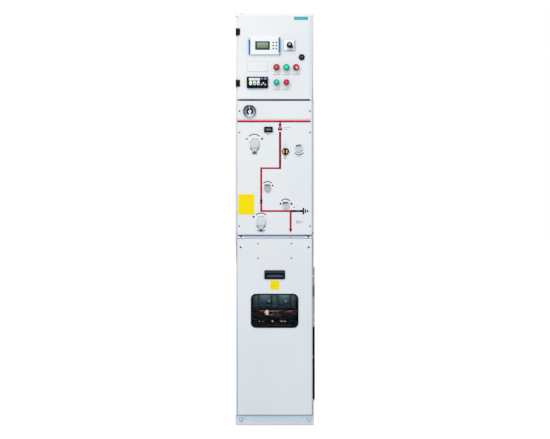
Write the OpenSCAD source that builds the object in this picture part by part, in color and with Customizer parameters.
// Gas insulated ring main unit: one cubicle with a cable storey, a mechanism storey
// and a low-voltage (LV) box on top. The front faces -Y, +X is the viewer's right.

/* [Cubicle] */
// Width over the side walls
cab_w = 420; // [400:5:520]
// Depth of the carcass, front flanges to rear wall
cab_d = 800; // [700:10:1000]
// Sheet thickness of walls and panels
sheet = 2; // [1.5:0.1:3]
// Width of the folded flanges of the side walls
flange_w = 30; // [20:1:40]
// Depth of the folded front panels
pan_d = 25; // [18:1:40]
// Bend radius of the panels' folded edges
fold_r = 3; // [1:0.5:5]
// Strip of flange that shows beside each panel
panel_margin = 11; // [6:1:16]
// Gap between panels that meet
panel_gap = 2; // [1:0.5:5]

/* [Plinth] */
// Height of the plinth
plinth_h = 55; // [45:1:120]
// Sheet thickness of the plinth
plinth_t = 3; // [2:0.5:5]
// Width of the plinth rails' flanges
rail_flange = 50; // [40:1:70]
// Distance of the plinth's face behind the panels' faces
plinth_set_back = 8; // [4:1:25]
// Radius of the anchor bolt holes
anchor_r = 7; // [5:0.5:9]
// Distance of the anchor holes from the sides
anchor_inset_x = 45; // [35:1:70]
// Distance of the anchor holes from the front and rear
anchor_inset_y = 27; // [20:1:32]
// Width of the cable slot in the floor
cable_slot_w = 130; // [80:5:200]
// Distance of the cable slot from the carcass front
cable_slot_y = 80; // [60:5:140]

/* [Cable storey] */
// Height of the cable cover
cover_h = 941; // [920:1:1000]
// Width of the window cut-out
window_w = 248; // [180:2:280]
// Height of the window cut-out
window_h = 176; // [140:2:200]
// Corner radius of the window
window_r = 24; // [10:1:40]
// Window centre to the right of the middle
window_x = -0.5; // [-10:0.5:10]
// Window centre above the cover's lower edge
window_z = 557; // [500:1:565]
// Thickness of the window pane
pane_t = 4; // [2:0.5:6]
// Border of the pane behind the sheet
pane_lap = 12; // [6:1:20]
// Width of the gasket inside the cut-out
gasket_w = 4; // [2:0.5:8]
// Width of the gasket's lip on the sheet
gasket_lip = 3; // [1:0.5:8]
// Height of the gasket's lip
gasket_t = 2; // [1:0.5:4]
// Width of the flush handle
handle_w = 111; // [90:1:140]
// Height of the flush handle
handle_h = 48; // [40:1:60]
// Handle centre above the cover's lower edge
handle_z = 750; // [740:1:780]
// Depth of the handle's pocket behind the sheet
handle_d = 19; // [10:1:20]

/* [Mechanism storey] */
// Gap between the cable cover and the mimic panel
seam_h = 22; // [18:1:40]
// Height of the mimic panel
mimic_h = 616; // [600:2:700]
// Radius of the large operating sockets
main_socket_r = 27; // [22:0.5:32]
// Radius of the small operating sockets
small_socket_r = 19.5; // [16:0.5:24]
// Width of the operation counter
counter_w = 45; // [36:1:54]
// Height of the operation counter
counter_h = 29; // [22:1:36]
// Radius of the position indicator
indicator_r = 18.5; // [14:0.5:24]
// Height of the gauge panel
gauge_panel_h = 98; // [90:1:140]
// Radius of the pressure gauge's bezel
gauge_r = 34; // [28:0.5:40]

/* [LV box] */
// Width over the LV box
lv_w = 412; // [400:2:420]
// Depth of the LV box
lv_d = 400; // [300:10:500]
// Width of the flanges around the door opening
lv_flange = 22; // [20:1:30]
// Height of the LV door
door_h = 444; // [430:2:500]
// Frame that shows on the hinge side
hinge_margin = 7; // [6:0.5:10]
// Frame that shows on the lock side
lock_margin = 19; // [12:1:22]
// Clearance around and behind the door
door_gap = 5; // [4:0.5:8]
// Space between the main top and the door's lower edge
door_sill_gap = 7; // [6:1:20]
// Space between the door's upper edge and the roof's lip
door_head_gap = 1; // [1:0.5:8]
// Height of the roof's lip
roof_h = 10; // [6:1:30]

/* [Hinges] */
// Height of a hinge
hinge_h = 36; // [30:1:60]
// Radius of the knuckles
knuckle_r = 4.5; // [4:0.1:5]
// Radius of the hinge pin
hinge_pin_r = 2; // [1.5:0.1:2.5]
// Distance of the pin in front of the door's face
hinge_pin_out = 5; // [4.5:0.5:8]
// Width of the leaf on the door
hinge_leaf_w = 13.5; // [10:0.5:24]
// Thickness of the leaf on the door
hinge_leaf_t = 3; // [2:0.5:4]
// Centre of the lower hinge above the door's lower edge
hinge_low_z = 85; // [40:1:120]
// Centre of the upper hinge above the door's lower edge
hinge_high_z = 359.5; // [300:0.5:400]

/* [Door instruments] */
// Width of the protection relay
relay_w = 167.5; // [140:0.5:180]
// Height of the protection relay
relay_h = 89; // [80:1:100]
// Depth of the relay's body behind the door
relay_d = 110; // [60:5:160]
// Width of the voltage indicator
volt_w = 113; // [96:1:120]
// Height of the voltage indicator
volt_h = 59.5; // [48:0.5:66]
// Side of the selector switch's square plate
selector_s = 60; // [48:1:64]
// Radius of the selector knob
knob_r = 15; // [12:0.5:20]
// Radius of the lamp bezels
lamp_r = 16.5; // [13:0.5:18]
// Radius of the push-button bezels
button_r = 15.5; // [13:0.5:18]
// Travel of the push-buttons
button_travel = 4; // [2:0.5:5]
// Distance between the lamp columns
lamp_pitch = 52.2; // [40:0.2:56]
// Radius of the lock's collar
lock_r = 16; // [13:0.5:20]

/* [Hidden] */
$fn = 64;
// Clearance where a piece passes through a cut-out
fit = 0.5;
// Radial clearance of pins, shafts and stems
run_fit = 0.05;
// Gap between moving faces that nearly touch
skim = 0.3;
// Overrun of every cut
over = 1;
// Straight pieces in a quarter arc
arc_steps = 6;

// Depth planes. The foremost piece is the selector knob, and the origin lies halfway
// between it and the rear wall.
knob_out = 29;
front_reach = pan_d + knob_out;
cf = -(cab_d - front_reach) / 2;
rear = cf + cab_d;
pf = cf - pan_d;
plinth_y = pf + plinth_set_back;

// Storeys
panel_w = cab_w - 2 * panel_margin;
cover_z = plinth_h + panel_gap;
cover_top = cover_z + cover_h;
mimic_z = cover_top + seam_h;
gauge_z = mimic_z + mimic_h + panel_gap;
main_h = gauge_z + gauge_panel_h + panel_gap;
door_z = main_h + door_sill_gap;
door_top = door_z + door_h;
roof_z = door_top + door_head_gap;
roof_top = roof_z + roof_h;

// Carcass details
rail_lap = 14;
rail_d = 30;
rail_set_back = 9;
rail_face_gap = 1;
rail_face_h = 14;
rail_face_w_share = 0.815;
flange_lap = 18;
hook_inset = 19;
hook_w = 20;
hook_h = 16;
hook_out = 12;

// Cable storey details
gasket_in_w = window_w - 2 * gasket_w;
gasket_in_h = window_h - 2 * gasket_w;
handle_wall = 2;
handle_rim = 8;
handle_top_rim = 4;
handle_rim_t = 4;
handle_r = 6;
handle_grip_h = 14;
handle_scoop_h = 13;
handle_cup_w = handle_w - 2 * handle_rim;
handle_cup_h = handle_h - handle_rim - handle_top_rim;
handle_cup_up = (handle_rim - handle_top_rim) / 2;

// Gas tank and cable gear
mech_d = 200;
tank_rise = 544;
tank_y = cf + mech_d;
tank_rear_gap = 40;
tank_side_gap = 14;
tank_z = cover_z + tank_rise;
tank_top_gap = 48;
tank_band_h = 26;
tank_band_t = 8;
tank_rail_h = 12;
tank_rail_lap = 14;
phase_pitch = 106;
bushing_rise = 150;
bushing_z = tank_z + bushing_rise;
bushing_r = 34;
bushing_tip_r = 23;
bushing_tip_gap = 14;
bushing_flange_r = 46;
bushing_flange_t = 10;
elbow_r = 43;
elbow_l = 104;
bushing_l = elbow_l - bushing_tip_gap;
elbow_leg_r = 20;
elbow_leg_l = 142;
elbow_fit = 0.5;
earth_bar_h = 32;
earth_bar_t = 6;
earth_bar_set_back = 150;
earth_bar_drop = 20;
earth_bar_y = cf + earth_bar_set_back;
earth_bar_z = tank_z - earth_bar_drop;
earth_bar_side_gap = 26;
earth_hole_r = 6.5;
earth_hole_count = 5;
earth_bracket_t = 4;
earth_bracket_lap = 24;
clamp_rail_h = 36;
clamp_rail_d = 24;
clamp_rail_t = 3;
clamp_rail_lip = 9;
clamp_rail_drop = 43;
clamp_rail_z = earth_bar_z - clamp_rail_drop;

// Right-hand side cover
side_cover_t = 5;
side_lip_t = 6;
side_lip_w = 7;
side_cover_y = cf - side_lip_t;
side_cover_rear_gap = 60;
side_cover_rise = 72;
side_cover_z = plinth_h + side_cover_rise;
side_cover_h = 718;
side_cover_r = 12;
side_seal_t = 4;
side_seal_gap = 6;
side_seal_low_h = 222;
side_seal_high_h = 158;

// Mechanism storey places: across from the middle, up from the mimic panel's lower edge
upper_socket_x = -107;
upper_socket_z = 491;
lower_socket_x = -73;
lower_socket_z = 76;
right_socket_x = 128;
right_socket_z = 460;
middle_socket_x = -39;
middle_socket_z = 249;
feeder_socket_x = 59;
feeder_socket_z = 157;
counter_x = -33.7;
counter_z = 562;
indicator_x = 57.5;
indicator_z = 445;
main_sockets_at = [[upper_socket_x, upper_socket_z], [lower_socket_x, lower_socket_z]];
small_sockets_at = [
  [right_socket_x, right_socket_z],
  [middle_socket_x, middle_socket_z],
  [feeder_socket_x, feeder_socket_z]
];
socket_plate_t = 3;
socket_lip = 1.5;
socket_collar_t = 9;
socket_wall_share = 0.12;
bulb_lean = 20;
shoulder_share = 0.92;
neck_w_share = 0.96;
neck_top_share = 1.48;
neck_end_share = 2.26;
small_tail_share = 0.43;
small_drop_share = 0.76;
socket_sleeve_share = 0.62;
socket_sleeve_l = 30;
shutter_t = 7;
shutter_grip_share = 0.34;
shutter_grip_t = 8.5;
neck_slot_w_share = 0.3;
neck_slot_h_share = 0.6;
brow_w_share = 1.5;
brow_h_share = 0.3;
counter_t = 8;
counter_r = 2;
counter_body_d = 30;
counter_rim = 5;
counter_window_d = 2;
indicator_t = 6;
indicator_rim = 4;
indicator_window_d = 2.5;
indicator_body_d = 25;

// Pressure gauge
gauge_inset = 64.4;
gauge_x = -panel_w / 2 + gauge_inset;
gauge_zc = 41.5;
gauge_out = 10;
gauge_rim = 4;
gauge_edge = 2.5;
gauge_step = 5;
gauge_body_d = 36;
gauge_dial_d = 6;
gauge_glass_t = 2;
gauge_glass_d = 3;

// LV box and door
door_x0 = -lv_w / 2 + hinge_margin;
door_w = lv_w - hinge_margin - lock_margin;
door_pan_d = pan_d - door_gap;
lv_wall_h = roof_top - sheet - main_h;
stile_gap = 1.5;

// Hinge axis and details
pin_x = door_x0 - knuckle_r;
pin_y = pf - hinge_pin_out;
hinge_gap = 0.3;
hinge_third = hinge_h / 3;
hinge_foot_w = 6.5;
hinge_foot_side = 1;

// Relay: places across from the middle and up from the door's lower edge
relay_x = -55;
relay_z = 282.5;
relay_out = 10;
relay_r = 3;
relay_rim = 7;
relay_cap_w = 8;
relay_cap_t = 12;
screen_w = 78;
screen_h = 46;
screen_x = -10;
screen_z = 1.5;
screen_d = 1.5;
key_r = 3.6;
key_t = 2;
key_x = 47;
key_pitch_x = 16.5;
key_pitch_z = 16.4;
key_columns = 2;
key_rows = 3;
key_z = 1.8;

// Voltage indicator
volt_x = -92.5;
volt_z = 88.5;
volt_out = 8;
volt_r = 3;
volt_rim = 9;
volt_d = 50;
test_hole_r = 2.2;
test_hole_d = 6;
test_x = 32;
test_z = -9;
test_step_x = 10;
test_step_z = 9;

// Selector switch
selector_x = 79;
selector_z = 287.5;
selector_t = 3;
selector_r = 3;
selector_neck_r = 11;
selector_body_s = 44;
selector_body_d = 52;
knob_skirt_t = 13;
knob_edge = 2;
knob_tip = 24;
knob_tail = 9;
knob_grip_w = 9;
knob_tilt = 45;
knob_shaft_r = 4;
knob_shaft_l = 18;

// Lamps and push-buttons
lamp_x = 9.5;
lamp_z = 168;
lamp_out = 5;
lamp_rim = 1;
lamp_edge = 1.5;
lamp_seat = 2;
lamp_lens_t = 20;
lamp_lens_edge = 6;
lamp_neck_r = 11;
lamp_neck_l = 45;
lamp_count = 3;
button_z = 88;
button_out = 10;
button_edge = 1.5;
button_rim = 1.6;
button_seat = 1.5;
button_cap_t = 18;
button_cap_edge = 2.5;
button_stem_r = 4;
button_stem_l = 16;
button_count = 2;

// Lock
lock_inset = 43;
lock_x = door_x0 + door_w - lock_inset;
lock_z = 224;
lock_out = 7;
lock_edge = 3;
lock_core_r = 9;
lock_core_d = 2;
lock_body_r = 9.5;
lock_body_d = 34;
tongue_w = 16;
tongue_l = 46;
tongue_t = 3;

// Points on an arc about c, from angle a0 to a1
function arc(c, r, a0, a1) = [
  for (i = [0 : arc_steps])
    let (a = a0 + (a1 - a0) * i / arc_steps) [c[0] + r * cos(a), c[1] + r * sin(a)]
];

// Rectangle with rounded corners, centred
function rounded(w, h, r) = concat(
  arc([w / 2 - r, h / 2 - r], r, 0, 90),
  arc([-w / 2 + r, h / 2 - r], r, 90, 180),
  arc([-w / 2 + r, -h / 2 + r], r, 180, 270),
  arc([w / 2 - r, -h / 2 + r], r, 270, 360)
);

// Strip of width w and depth d below its axis, with its two upper corners rounded
function lipped(w, d, r) = concat(
  [[-w / 2, -d], [w / 2, -d]],
  arc([w / 2 - r, -r], r, 0, 90),
  arc([-w / 2 + r, -r], r, 90, 180)
);

// Circle with shoulders that taper to a straight neck below it
function bulb(r) =
  let (
    shoulder = r * shoulder_share,
    neck = r * neck_w_share / 2,
    neck_top = r * neck_top_share,
    neck_end = r * neck_end_share
  )
  concat(
    arc([0, 0], r, -bulb_lean, 180 + bulb_lean),
    [
      [-shoulder, -shoulder], [-neck, -neck_top], [-neck, -neck_end],
      [neck, -neck_end], [neck, -neck_top], [shoulder, -shoulder]
    ]
  );

// Large circle with a smaller one below it and straight flanks between them
function pear(r, tail, drop) =
  let (lean = asin((r - tail) / drop))
  concat(arc([0, 0], r, -lean, 180 + lean), arc([0, -drop], tail, 180 + lean, 360 - lean));

// Folded wall seen from above: web along +Y at x = 0, flanges towards +X
function channel(d, flange, t) = [
  [0, 0], [flange, 0], [flange, t], [t, t], [t, d - t], [flange, d - t], [flange, d], [0, d]
];

// Half profile of a round cap with a rounded front edge, for a revolve
function cap_profile(r, z0, z1, edge) = concat(
  [[0, z0], [r, z0]], arc([r - edge, z1 - edge], edge, 0, 90), [[0, z1]]
);

// Local frame on a front face: x right, y up, z towards the viewer
module front_at(x, z, y) {
  translate([x, y, z]) rotate([90, 0, 0]) children();
}

// Plain block between two corners
module block(a, b) {
  translate(a) cube(b - a);
}

// Block with rounded front edges; its lower edge lies on y = 0 and its face on z = 0
module pan_block(w, h, d) {
  intersection() {
    translate([0, h, 0]) rotate([90, 0, 0]) linear_extrude(h) polygon(lipped(w, d, fold_r));
    translate([-w / 2, h / 2, 0]) rotate([90, 0, 90]) linear_extrude(w) polygon(lipped(h, d, fold_r));
  }
}

// Folded sheet pan, open at the back
module pan(w, h, d) {
  difference() {
    pan_block(w, h, d);
    block([-w / 2 + sheet, sheet, -d - over], [w / 2 - sheet, h - sheet, -sheet]);
  }
}

// Rounded plate on the face z = z0
module plate(w, h, r, z0, t) {
  translate([0, 0, z0]) linear_extrude(t) polygon(rounded(w, h, r));
}

// Cut through the sheet of a pan
module sheet_cut(w, h, r) {
  plate(w, h, r, -sheet - over, sheet + 2 * over);
}

// Round cut through the sheet of a pan
module sheet_hole(r) {
  translate([0, 0, -sheet - over]) cylinder(r = r, h = sheet + 2 * over);
}

// C-section rail along X with its web at the front and its ends closed
module front_rail(w, d, h, t) {
  difference() {
    block([-w / 2, 0, 0], [w / 2, d, h]);
    block([-w / 2 + t, t, t], [w / 2 - t, d + over, h - t]);
  }
}

module plinth_rails() {
  color("#c7cfd8")
    for (turn = [0, 1])
      translate([0, turn ? rear : plinth_y, 0])
        mirror([0, turn, 0])
          difference() {
            front_rail(cab_w, rail_flange, plinth_h, plinth_t);
            for (side = [-1, 1])
              translate([side * (cab_w / 2 - anchor_inset_x), anchor_inset_y, -over])
                cylinder(r = anchor_r, h = plinth_t + 2 * over);
          }
}

module plinth_sides() {
  run = rear - plinth_y - 2 * rail_flange;
  color("#c7cfd8")
    for (side = [-1, 1])
      translate([side * cab_w / 2, (plinth_y + rear) / 2, 0])
        rotate([0, 0, side * 90]) front_rail(run, rail_flange, plinth_h, plinth_t);
}

module floor_plates() {
  half = cab_w / 2 - sheet - fit;
  slot_front = cf + cable_slot_y;
  slot_rear = slot_front + cable_slot_w;
  color("#b9c0c6") {
    block([-half, cf + sheet + fit, plinth_h], [half, slot_front, plinth_h + sheet]);
    block([-half, slot_rear, plinth_h], [half, rear - 2 * sheet - fit, plinth_h + sheet]);
  }
}

module wall_sheet() {
  translate([-cab_w / 2, cf, plinth_h])
    linear_extrude(main_h - sheet - plinth_h) polygon(channel(cab_d - sheet, flange_w, sheet));
}

module left_side_wall() {
  color("#dfe3e6") wall_sheet();
}

module right_side_wall() {
  color("#dfe3e6") mirror([1, 0, 0]) wall_sheet();
}

module rear_wall() {
  color("#dfe3e6")
    block([-cab_w / 2, rear - sheet, plinth_h], [cab_w / 2, rear, main_h - sheet]);
}

module main_top() {
  color("#dfe3e6") block([-cab_w / 2, cf, main_h - sheet], [cab_w / 2, rear, main_h]);
}

// Rail across the seam between the cable cover and the mimic panel, with a folded face that
// comes forward into the seam's lower part. A hook for the cover stands beside each end of that
// face, on the side wall's flange.
module cross_rail() {
  face_y = pf + rail_set_back;
  color("#bec8d5") {
    translate([0, face_y, cover_top + rail_face_gap])
      front_rail(panel_w * rail_face_w_share, cf + sheet - face_y, rail_face_h, sheet);
    translate([0, cf + sheet, cover_top - rail_lap])
      front_rail(cab_w - 2 * sheet, rail_d, seam_h + 2 * rail_lap, sheet);
    for (side = [-1, 1])
      front_at(side * (panel_w / 2 - hook_inset), mimic_z - panel_gap, cf)
        linear_extrude(hook_out) polygon([[-hook_w / 2, 0], [0, -hook_h], [hook_w / 2, 0]]);
  }
}

// Cover on the right-hand wall, with a lip round the wall's front edge
module side_cover() {
  run = rear - side_cover_rear_gap - side_cover_y;
  lip_z = side_cover_z + side_cover_r;
  color("#a9b0b6")
    translate([cab_w / 2, 0, 0]) {
      translate([0, side_cover_y + run / 2, side_cover_z + side_cover_h / 2])
        rotate([90, 0, 90]) linear_extrude(side_cover_t)
          polygon(rounded(run, side_cover_h, side_cover_r));
      block([-side_lip_w, side_cover_y, lip_z], [side_cover_t, cf, lip_z + side_cover_h - 2 * side_cover_r]);
    }
}

// Two lengths of rubber seal on the lip of the side cover
module side_edge_seal() {
  low_z = side_cover_z + side_cover_r;
  high_z = low_z + side_seal_low_h + side_seal_gap;
  color("#1f2a31")
    translate([cab_w / 2 - side_lip_w, side_cover_y - side_seal_t, 0]) {
      translate([0, 0, low_z]) cube([side_lip_w + side_cover_t, side_seal_t, side_seal_low_h]);
      translate([0, 0, high_z]) cube([side_lip_w + side_cover_t, side_seal_t, side_seal_high_h]);
    }
}

module gas_tank() {
  half = cab_w / 2 - sheet - tank_side_gap;
  color("#9aa3a8") {
    block([-half, tank_y, tank_z], [half, rear - tank_rear_gap, main_h - tank_top_gap]);
    block([-half, tank_y - tank_band_t, tank_z], [half, tank_y + tank_band_t, tank_z + tank_band_h]);
  }
}

module tank_rails() {
  wall = cab_w / 2 - sheet;
  color("#8c9499")
    for (side = [0, 1])
      mirror([side, 0, 0])
        block(
          [wall - tank_side_gap - tank_rail_lap, tank_y, tank_z - tank_rail_h],
          [wall, rear - tank_rear_gap, tank_z]
        );
}

// Outer cone of a bushing, grown by a clearance
module bushing_cone(grow) {
  cylinder(r1 = bushing_r + grow, r2 = bushing_tip_r + grow, h = bushing_l + grow);
}

module cable_bushings() {
  color("#5b4a44")
    for (phase = [-1 : 1])
      front_at(phase * phase_pitch, bushing_z, tank_y) {
        cylinder(r = bushing_flange_r, h = bushing_flange_t);
        bushing_cone(0);
      }
}

module elbow_connectors() {
  barrel_front = bushing_flange_t + elbow_l;
  leg_edge = elbow_leg_r * socket_sleeve_share;
  color("#24282c")
    for (phase = [-1 : 1])
      front_at(phase * phase_pitch, bushing_z, tank_y)
        difference() {
          union() {
            translate([0, 0, bushing_flange_t]) cylinder(r = elbow_r, h = elbow_l);
            translate([0, 0, barrel_front - elbow_r])
              rotate([90, 0, 0])
                rotate_extrude() polygon(cap_profile(elbow_leg_r, 0, elbow_leg_l, leg_edge));
          }
          translate([0, 0, -over]) bushing_cone(elbow_fit + over);
        }
}

module earth_bar() {
  half = cab_w / 2 - sheet - earth_bar_side_gap;
  step = 2 * half / (earth_hole_count + 1);
  color("#b5714f")
    difference() {
      block(
        [-half, earth_bar_y, earth_bar_z - earth_bar_h / 2],
        [half, earth_bar_y + earth_bar_t, earth_bar_z + earth_bar_h / 2]
      );
      for (i = [1 : earth_hole_count])
        translate([-half + i * step, earth_bar_y - over, earth_bar_z])
          rotate([-90, 0, 0]) cylinder(r = earth_hole_r, h = earth_bar_t + 2 * over);
    }
}

module earth_bar_brackets() {
  wall = cab_w / 2 - sheet;
  back = earth_bar_y + earth_bar_t;
  color("#8c9499")
    for (side = [0, 1])
      mirror([side, 0, 0])
        block(
          [wall - earth_bar_side_gap - earth_bracket_lap, back, earth_bar_z - earth_bar_h / 2],
          [wall, back + earth_bracket_t, earth_bar_z + earth_bar_h / 2]
        );
}

module clamp_rail() {
  wall = cab_w / 2 - sheet;
  color("#6d757b")
    translate([0, earth_bar_y, clamp_rail_z - clamp_rail_h / 2])
      difference() {
        block([-wall, 0, 0], [wall, clamp_rail_d, clamp_rail_h]);
        block(
          [-wall - over, clamp_rail_t, clamp_rail_t],
          [wall + over, clamp_rail_d - clamp_rail_t, clamp_rail_h - clamp_rail_t]
        );
        block(
          [-wall - over, -over, clamp_rail_lip],
          [wall + over, clamp_rail_d / 2, clamp_rail_h - clamp_rail_lip]
        );
      }
}

module cable_cover() {
  color("#d9dfe4")
    front_at(0, cover_z, pf)
      difference() {
        pan(panel_w, cover_h, pan_d);
        translate([window_x, window_z, 0]) sheet_cut(window_w, window_h, window_r);
        translate([0, handle_z + handle_cup_up, 0])
          sheet_cut(handle_cup_w + 2 * fit, handle_cup_h + 2 * fit, handle_wall + fit);
      }
}

module window_pane() {
  grow = 2 * pane_lap;
  color("#9fb4b8", 0.4)
    front_at(window_x, cover_z + window_z, pf)
      plate(window_w + grow, window_h + grow, window_r + pane_lap, -sheet - pane_t, pane_t);
}

module window_gasket() {
  grow = 2 * gasket_lip;
  inner_r = window_r - gasket_w;
  color("#15181b")
    front_at(window_x, cover_z + window_z, pf)
      difference() {
        union() {
          plate(window_w + grow, window_h + grow, window_r + gasket_lip, 0, gasket_t);
          plate(window_w - fit, window_h - fit, window_r - fit / 2, -sheet, sheet + gasket_t);
        }
        plate(gasket_in_w, gasket_in_h, inner_r, -sheet - over, sheet + gasket_t + 2 * over);
      }
}

// Side view of the handle's hollow, depth then height: a scoop that rises to the back,
// and a space for the finger tips behind the grip
function handle_hollow() =
  let (
    low = -handle_h / 2 + handle_rim + handle_wall,
    high = handle_h / 2 - handle_top_rim - handle_wall,
    grip = handle_h / 2 - handle_grip_h,
    back = handle_wall - handle_d,
    front = handle_rim_t + over
  )
  [
    [front, low], [handle_rim_t, low], [back, low + handle_scoop_h],
    [back, high], [0, high], [0, grip], [front, grip]
  ];

module flush_handle() {
  pocket_w = handle_cup_w - 2 * handle_wall;
  color("#22282f")
    front_at(0, cover_z + handle_z, pf)
      difference() {
        union() {
          plate(handle_w, handle_h, handle_r, 0, handle_rim_t);
          translate([0, handle_cup_up, 0])
            plate(handle_cup_w, handle_cup_h, handle_wall, -handle_d, handle_d);
        }
        translate([pocket_w / 2, 0, 0])
          rotate([0, -90, 0]) linear_extrude(pocket_w) polygon(handle_hollow());
      }
}

module mimic_panel() {
  color("#e8ebee")
    front_at(0, mimic_z, pf)
      difference() {
        pan(panel_w, mimic_h, pan_d);
        for (at = main_sockets_at)
          translate(at) sheet_hole(main_socket_r * socket_sleeve_share + fit);
        for (at = small_sockets_at)
          translate(at) sheet_hole(small_socket_r * socket_sleeve_share + fit);
        translate([indicator_x, indicator_z, 0]) sheet_hole(indicator_r - indicator_rim + fit);
        translate([counter_x, counter_z, 0])
          sheet_cut(counter_w - 2 * counter_rim + 2 * fit, counter_h - 2 * counter_rim + 2 * fit, counter_r);
      }
}

// Operating socket on a plate of the given outline: round collar, sleeve behind, recessed
// shutter with a grip
module socket(r, outline) {
  sleeve_r = r * socket_sleeve_share;
  collar_r = r - socket_lip;
  inner_r = collar_r * (1 - socket_wall_share);
  grip = r * shutter_grip_share;
  difference() {
    union() {
      linear_extrude(socket_plate_t) polygon(outline);
      cylinder(r = collar_r, h = socket_collar_t);
      translate([0, 0, -socket_sleeve_l]) cylinder(r = sleeve_r, h = socket_sleeve_l);
    }
    translate([0, 0, shutter_t]) cylinder(r = inner_r, h = socket_collar_t);
  }
  translate([-grip / 2, -inner_r / 2, shutter_t]) cube([grip, inner_r, shutter_grip_t - shutter_t]);
}

// Large sockets have a slot for a padlock in their neck
module main_sockets() {
  r = main_socket_r;
  slot_w = r * neck_slot_w_share;
  slot_h = r * neck_slot_h_share;
  slot_z = -r * (neck_top_share + neck_end_share) / 2;
  color("#d0d9e1")
    for (at = main_sockets_at)
      front_at(at[0], mimic_z + at[1], pf)
        difference() {
          socket(r, bulb(r));
          translate([0, slot_z, 0])
            block([-slot_w / 2, -slot_h / 2, -over], [slot_w / 2, slot_h / 2, socket_plate_t + over]);
        }
}

// Small sockets have a flat top with a sliding bar
module small_sockets() {
  r = small_socket_r;
  brow_w = r * brow_w_share;
  brow_h = r * brow_h_share;
  color("#c2c8cd")
    for (at = small_sockets_at)
      front_at(at[0], mimic_z + at[1], pf) {
        socket(r, pear(r, r * small_tail_share, r * small_drop_share));
        translate([-brow_w / 2, r - brow_h, 0]) cube([brow_w, brow_h, socket_collar_t + socket_plate_t]);
      }
}

module position_indicator() {
  face = indicator_t - indicator_window_d;
  color("#1c1c1e")
    front_at(indicator_x, mimic_z + indicator_z, pf)
      difference() {
        union() {
          cylinder(r = indicator_r, h = indicator_t);
          translate([0, 0, -indicator_body_d])
            cylinder(r = indicator_r - indicator_rim, h = indicator_body_d);
        }
        translate([0, 0, face]) cylinder(r = indicator_r - indicator_rim, h = indicator_t);
      }
}

module operation_counter() {
  window_w_in = counter_w - 2 * counter_rim;
  window_h_in = counter_h - 2 * counter_rim;
  color("#1b1d20")
    front_at(counter_x, mimic_z + counter_z, pf)
      difference() {
        union() {
          plate(counter_w, counter_h, counter_r, 0, counter_t);
          plate(window_w_in, window_h_in, counter_r / 2, -counter_body_d, counter_body_d);
        }
        plate(window_w_in, window_h_in, counter_r / 2, counter_t - counter_window_d, counter_t);
      }
}

module gauge_panel() {
  color("#e9ecef")
    front_at(0, gauge_z, pf)
      difference() {
        pan(panel_w, gauge_panel_h, pan_d);
        translate([gauge_x, gauge_zc, 0]) sheet_hole(gauge_r - gauge_step + fit);
      }
}

module gauge_case() {
  dial_r = gauge_r - gauge_rim;
  color("#2b2f33")
    front_at(gauge_x, gauge_z + gauge_zc, pf)
      difference() {
        union() {
          rotate_extrude() polygon(cap_profile(gauge_r, 0, gauge_out, gauge_edge));
          translate([0, 0, -gauge_body_d]) cylinder(r = gauge_r - gauge_step, h = gauge_body_d);
        }
        translate([0, 0, gauge_out - gauge_dial_d]) cylinder(r = dial_r, h = gauge_out);
      }
}

module gauge_glass() {
  color("#c9d6dc", 0.4)
    front_at(gauge_x, gauge_z + gauge_zc, pf)
      translate([0, 0, gauge_out - gauge_glass_d])
        cylinder(r = gauge_r - gauge_rim - run_fit, h = gauge_glass_t);
}

module lv_wall_sheet() {
  translate([-lv_w / 2, cf, main_h])
    linear_extrude(lv_wall_h) polygon(channel(lv_d, lv_flange, sheet));
}

module lv_left_wall() {
  color("#e2e5e8") lv_wall_sheet();
}

// The lock-side wall has a folded stile that comes forward beside the door's edge
module lv_right_wall() {
  stile_x = door_x0 + door_w + stile_gap;
  stile_y = pf + sheet;
  stile_top = roof_top - sheet;
  color("#e2e5e8") {
    mirror([1, 0, 0]) lv_wall_sheet();
    block([stile_x, stile_y, main_h], [lv_w / 2, stile_y + sheet, stile_top]);
    block([stile_x, stile_y, main_h], [stile_x + sheet, cf, stile_top]);
    block([lv_w / 2 - sheet, stile_y, main_h], [lv_w / 2, cf, stile_top]);
  }
}

module lv_rear_wall() {
  half = lv_w / 2 - sheet;
  back = cf + lv_d - sheet;
  color("#e2e5e8") block([-half, back - sheet, main_h], [half, back, main_h + lv_wall_h]);
}

module lv_cross_flanges() {
  half = lv_w / 2 - lv_flange;
  color("#d3d7db") {
    block([-half, cf, main_h], [half, cf + sheet, door_z + flange_lap]);
    block([-half, cf, door_top - flange_lap], [half, cf + sheet, roof_top - sheet]);
  }
}

module lv_roof() {
  half = lv_w / 2 + sheet;
  back = cf + lv_d + sheet;
  color("#e2e5e8")
    difference() {
      block([-half, pf, roof_z], [half, back, roof_top]);
      block([-half + sheet, pf + sheet, roof_z - over], [half - sheet, back - sheet, roof_top - sheet]);
    }
}

// Both hinges in turn, each centred on its own height on the pin's axis
module at_hinges() {
  for (z = [hinge_low_z, hinge_high_z])
    translate([pin_x, pin_y, door_z + z]) children();
}

module hinge_frame_leaves() {
  foot_front = knuckle_r + hinge_gap + sheet / 2;
  foot_x = -knuckle_r + hinge_foot_side;
  color("#17191c")
    at_hinges() {
      difference() {
        union() {
          block([foot_x, foot_front, -hinge_h / 2], [foot_x + hinge_foot_w, cf - pin_y, hinge_h / 2]);
          for (side = [0, 1])
            mirror([0, 0, side])
              translate([0, 0, hinge_third / 2]) {
                cylinder(r = knuckle_r, h = hinge_third);
                block([foot_x, 0, 0], [foot_x + hinge_foot_w, foot_front + over, hinge_third]);
              }
        }
        translate([0, 0, -hinge_third / 2])
          cylinder(r = knuckle_r + hinge_gap, h = hinge_third);
      }
      cylinder(r = hinge_pin_r, h = hinge_third + 2 * over, center = true);
    }
}

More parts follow.
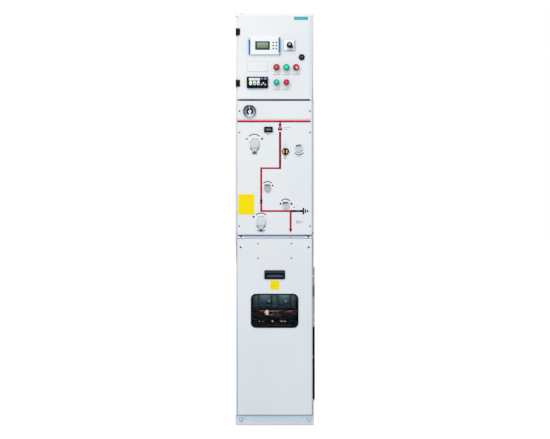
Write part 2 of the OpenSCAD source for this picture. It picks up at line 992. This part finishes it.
module hinge_door_leaves() {
  h = hinge_third - 2 * hinge_gap;
  leaf_x = knuckle_r;
  color("#17191c")
    at_hinges()
      difference() {
        union() {
          translate([0, 0, -h / 2]) cylinder(r = knuckle_r, h = h);
          block([0, hinge_pin_out - hinge_leaf_t, -h / 2], [leaf_x + over, hinge_pin_out, h / 2]);
          block(
            [leaf_x + over, hinge_pin_out - hinge_leaf_t, -hinge_h / 2],
            [leaf_x + hinge_leaf_w, hinge_pin_out, hinge_h / 2]
          );
        }
        translate([0, 0, -hinge_h]) cylinder(r = hinge_pin_r + run_fit, h = 2 * hinge_h);
      }
}

module lv_door() {
  body_w = relay_w - 2 * relay_rim;
  body_h = relay_h - 2 * relay_rim;
  color("#eceef2")
    front_at(0, door_z, pf)
      difference() {
        translate([door_x0 + door_w / 2, 0, 0]) pan(door_w, door_h, door_pan_d);
        translate([relay_x, relay_z, 0]) sheet_cut(body_w + 2 * fit, body_h + 2 * fit, relay_r);
        translate([volt_x, volt_z, 0])
          sheet_cut(volt_w - 2 * volt_rim + 2 * fit, volt_h - 2 * volt_rim + 2 * fit, volt_r);
        translate([selector_x, selector_z, 0]) sheet_hole(selector_neck_r + fit);
        for (i = [0 : lamp_count - 1])
          translate([lamp_x + i * lamp_pitch, lamp_z, 0]) sheet_hole(lamp_neck_r + fit);
        for (i = [0 : button_count - 1])
          translate([lamp_x + i * lamp_pitch, button_z, 0]) sheet_hole(lamp_neck_r + fit);
        translate([lock_x, lock_z, 0]) sheet_hole(lock_body_r + fit);
      }
}

module relay_case() {
  face_w = relay_w - 2 * relay_cap_w;
  color("#f2f3f5")
    front_at(relay_x, door_z + relay_z, pf)
      difference() {
        union() {
          block([-face_w / 2, -relay_h / 2, 0], [face_w / 2, relay_h / 2, relay_out]);
          plate(relay_w - 2 * relay_rim, relay_h - 2 * relay_rim, relay_r / 2, -relay_d, relay_d);
        }
        translate([screen_x, screen_z, 0])
          plate(screen_w, screen_h, relay_r, relay_out - screen_d, screen_d + over);
      }
}

module relay_end_caps() {
  color("#3b79ab")
    front_at(relay_x, door_z + relay_z, pf)
      for (side = [-1, 1])
        translate([side * (relay_w - relay_cap_w) / 2, 0, 0])
          plate(relay_cap_w, relay_h, relay_r, 0, relay_cap_t);
}

module relay_screen() {
  color("#4d6b4a")
    front_at(relay_x + screen_x, door_z + relay_z + screen_z, pf)
      plate(screen_w - run_fit, screen_h - run_fit, relay_r, relay_out - screen_d, screen_d);
}

module relay_keys() {
  color("#3a3d42")
    front_at(relay_x, door_z + relay_z, pf)
      for (i = [0 : key_columns - 1], j = [0 : key_rows - 1])
        translate([key_x + i * key_pitch_x, key_z + (j - (key_rows - 1) / 2) * key_pitch_z, relay_out])
          cylinder(r = key_r, h = key_t);
}

module voltage_indicator() {
  color("#1d1f23")
    front_at(volt_x, door_z + volt_z, pf)
      difference() {
        union() {
          plate(volt_w, volt_h, volt_r, 0, volt_out);
          plate(volt_w - 2 * volt_rim, volt_h - 2 * volt_rim, volt_r / 2, -volt_d, volt_d);
        }
        for (i = [-1 : 1])
          translate([test_x + i * test_step_x, test_z + (1 - abs(i)) * test_step_z, volt_out - test_hole_d])
            cylinder(r = test_hole_r, h = test_hole_d + over);
      }
}

module selector_plate() {
  color("#eef0f2")
    front_at(selector_x, door_z + selector_z, pf)
      difference() {
        union() {
          plate(selector_s, selector_s, selector_r, 0, selector_t);
          translate([0, 0, -sheet]) cylinder(r = selector_neck_r, h = sheet);
          plate(selector_body_s, selector_body_s, selector_r, -sheet - selector_body_d, selector_body_d);
        }
        translate([0, 0, selector_t - knob_shaft_l])
          cylinder(r = knob_shaft_r + run_fit, h = knob_shaft_l + over);
      }
}

module selector_knob() {
  top = knob_out - selector_t - skim;
  end_r = knob_grip_w / 2;
  color("#1b1c20")
    front_at(selector_x, door_z + selector_z, pf)
      translate([0, 0, selector_t + skim]) {
        rotate_extrude() polygon(cap_profile(knob_r, 0, knob_skirt_t, knob_edge));
        translate([0, 0, skim - knob_shaft_l]) cylinder(r = knob_shaft_r, h = knob_shaft_l);
        rotate([0, 0, -knob_tilt]) {
          block([-knob_tail, -end_r, knob_skirt_t / 2], [knob_tip - end_r, end_r, top]);
          translate([knob_tip - end_r, 0, knob_skirt_t / 2]) cylinder(r = end_r, h = top - knob_skirt_t / 2);
        }
      }
}

// Round bezel on the door with a seat for a lens or a cap, and its body behind
module round_bezel(r, out, edge, rim, seat) {
  difference() {
    union() {
      rotate_extrude() polygon(cap_profile(r, 0, out, edge));
      translate([0, 0, -lamp_neck_l]) cylinder(r = lamp_neck_r, h = lamp_neck_l);
    }
    translate([0, 0, seat]) cylinder(r = r - rim, h = out);
  }
}

module lamp_bezels() {
  color("#9aa1a8")
    for (i = [0 : lamp_count - 1])
      front_at(lamp_x + i * lamp_pitch, door_z + lamp_z, pf)
        round_bezel(lamp_r, lamp_out, lamp_edge, lamp_rim, lamp_seat);
}

module lamp_lens(i) {
  front_at(lamp_x + i * lamp_pitch, door_z + lamp_z, pf)
    translate([0, 0, lamp_seat])
      rotate_extrude() polygon(cap_profile(lamp_r - lamp_rim - run_fit, 0, lamp_lens_t, lamp_lens_edge));
}

module red_lamps() {
  color("#c03a50")
    for (i = [0 : 2 : lamp_count - 1]) lamp_lens(i);
}

module green_lamp() {
  color("#2cb592") lamp_lens(1);
}

module button_bezels() {
  color("#8f969d")
    for (i = [0 : button_count - 1])
      front_at(lamp_x + i * lamp_pitch, door_z + button_z, pf)
        difference() {
          round_bezel(button_r, button_out, button_edge, button_rim, button_seat);
          translate([0, 0, button_seat - button_stem_l - button_travel])
            cylinder(r = button_stem_r + run_fit, h = button_stem_l + button_travel + over);
        }
}

module button_cap(i) {
  rest = button_seat + button_travel + skim;
  front_at(lamp_x + i * lamp_pitch, door_z + button_z, pf)
    translate([0, 0, rest]) {
      rotate_extrude()
        polygon(cap_profile(button_r - button_rim - skim, 0, button_cap_t, button_cap_edge));
      translate([0, 0, -button_stem_l]) cylinder(r = button_stem_r, h = button_stem_l + over);
    }
}

module green_button() {
  color("#25cbab") button_cap(0);
}

module red_button() {
  color("#c83754") button_cap(1);
}

module door_lock() {
  color("#3e3f4a")
    front_at(lock_x, door_z + lock_z, pf) {
      difference() {
        rotate_extrude() polygon(cap_profile(lock_r, 0, lock_out, lock_edge));
        translate([0, 0, lock_out - lock_core_d]) cylinder(r = lock_core_r, h = lock_out);
      }
      translate([0, 0, -lock_body_d]) cylinder(r = lock_body_r, h = lock_body_d);
      block([-tongue_w / 2, -tongue_l, -lock_body_d], [tongue_w / 2, 0, tongue_t - lock_body_d]);
    }
}

plinth_rails();
plinth_sides();
floor_plates();
left_side_wall();
right_side_wall();
rear_wall();
main_top();
cross_rail();
side_cover();
side_edge_seal();
gas_tank();
tank_rails();
cable_bushings();
elbow_connectors();
earth_bar();
earth_bar_brackets();
clamp_rail();
cable_cover();
window_pane();
window_gasket();
flush_handle();
mimic_panel();
main_sockets();
small_sockets();
position_indicator();
operation_counter();
gauge_panel();
gauge_case();
gauge_glass();
lv_left_wall();
lv_right_wall();
lv_rear_wall();
lv_cross_flanges();
lv_roof();
hinge_frame_leaves();
hinge_door_leaves();
lv_door();
relay_case();
relay_end_caps();
relay_screen();
relay_keys();
voltage_indicator();
selector_plate();
selector_knob();
lamp_bezels();
red_lamps();
green_lamp();
button_bezels();
green_button();
red_button();
door_lock();
